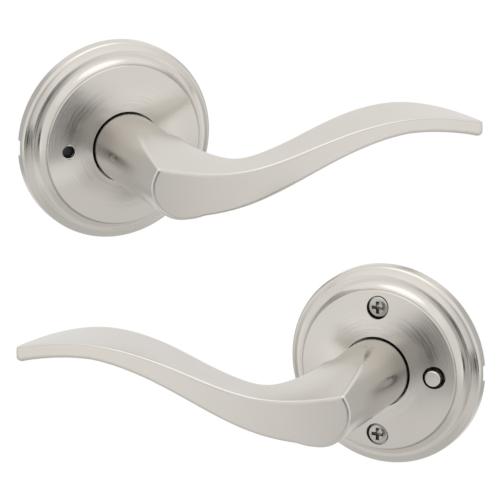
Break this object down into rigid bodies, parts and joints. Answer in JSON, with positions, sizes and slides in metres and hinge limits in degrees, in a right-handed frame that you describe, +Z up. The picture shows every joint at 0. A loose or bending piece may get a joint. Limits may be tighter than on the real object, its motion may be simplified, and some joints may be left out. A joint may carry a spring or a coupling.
{
  "type": "privacy door lever set",
  "caption": "Privacy door lever set in satin nickel: an outside and an inside half, each a round stepped rose with a sprung wave-shaped lever; push-button lock inside, release hole outside.",
  "frame": {"origin": "Centre of the inside half's door face: where its spindle axis meets the plane of the door.", "axes": "+Z up; the inside half faces -Y with its lever pointing to -X, so +Y goes into the door. The outside half is displayed beside it, turned 45 degrees about Z."},
  "size_m": [0.1962, 0.1482, 0.1262],
  "materials": {
    "satin_nickel": "satin",
    "zinc_plate": "bright zinc plate, slightly clouded",
    "spring_steel": "drawn spring wire, oiled",
    "nickel_screw": "nickel plate",
    "bronze": "sintered bronze, matte",
    "nylon": "natural nylon",
    "dark_nylon": "black nylon"
  },
  "bodies": {
    "base": {"outside_rose": "satin_nickel", "outside_backplate": "zinc_plate", "outside_spring_cage": "zinc_plate", "outside_cage_rivets": "zinc_plate", "outside_bushing": "bronze", "outside_thrust_washer": "nylon", "outside_return_spring": "spring_steel", "outside_mounting_posts": "zinc_plate", "outside_release_guide": "dark_nylon", "inside_rose": "satin_nickel", "inside_backplate": "zinc_plate", "inside_spring_cage": "zinc_plate", "inside_cage_rivets": "zinc_plate", "inside_bushing": "bronze", "inside_thrust_washer": "nylon", "inside_return_spring": "spring_steel", "mounting_screws": "nickel_screw", "lock_guide": "dark_nylon", "lock_spring": "spring_steel"},
    "outside_handle": {"outside_lever": "satin_nickel", "outside_drive_sleeve": "zinc_plate", "outside_spring_driver": "zinc_plate", "outside_circlip": "spring_steel", "outside_catch_spring": "spring_steel", "spindle": "zinc_plate"},
    "outside_catch": {"outside_lever_catch": "zinc_plate"},
    "inside_handle": {"inside_lever": "satin_nickel", "inside_drive_sleeve": "zinc_plate", "inside_spring_driver": "zinc_plate", "inside_circlip": "spring_steel", "inside_catch_spring": "spring_steel"},
    "inside_catch": {"inside_lever_catch": "zinc_plate"},
    "lock": {"lock_button": "satin_nickel", "lock_rod": "zinc_plate", "lock_rod_clip": "spring_steel"}
  },
  "joints": [
    {"name": "outside_lever_turn", "type": "hinge", "parent": "base", "child": "outside_handle", "pos_m": [-0.1205, 0.04, 0.0562], "axis": [0.7071, -0.7071, 0], "range_deg": [-45, 45], "stiffness_Nm_per_rad": 2, "deforming": ["outside_return_spring"]},
    {"name": "inside_lever_turn", "type": "hinge", "parent": "base", "child": "inside_handle", "pos_m": [0, 0, 0], "axis": [0, -1, 0], "range_deg": [-45, 45], "stiffness_Nm_per_rad": 2, "deforming": ["inside_return_spring"]},
    {"name": "lock_button_push", "type": "slide", "parent": "base", "child": "lock", "axis": [0, 1, 0], "range_m": [0, 0.0025], "stiffness_N_per_m": 300, "deforming": ["lock_spring"]},
    {"name": "outside_catch_release", "type": "slide", "parent": "outside_handle", "child": "outside_catch", "axis": [0.7002, 0.7002, -0.1392], "range_m": [0, 0.0038], "stiffness_N_per_m": 120, "deforming": ["outside_catch_spring"]},
    {"name": "inside_catch_release", "type": "slide", "parent": "inside_handle", "child": "inside_catch", "axis": [-0.1392, 0, -0.9903], "range_m": [0, 0.0038], "stiffness_N_per_m": 120, "deforming": ["inside_catch_spring"]}
  ]
}
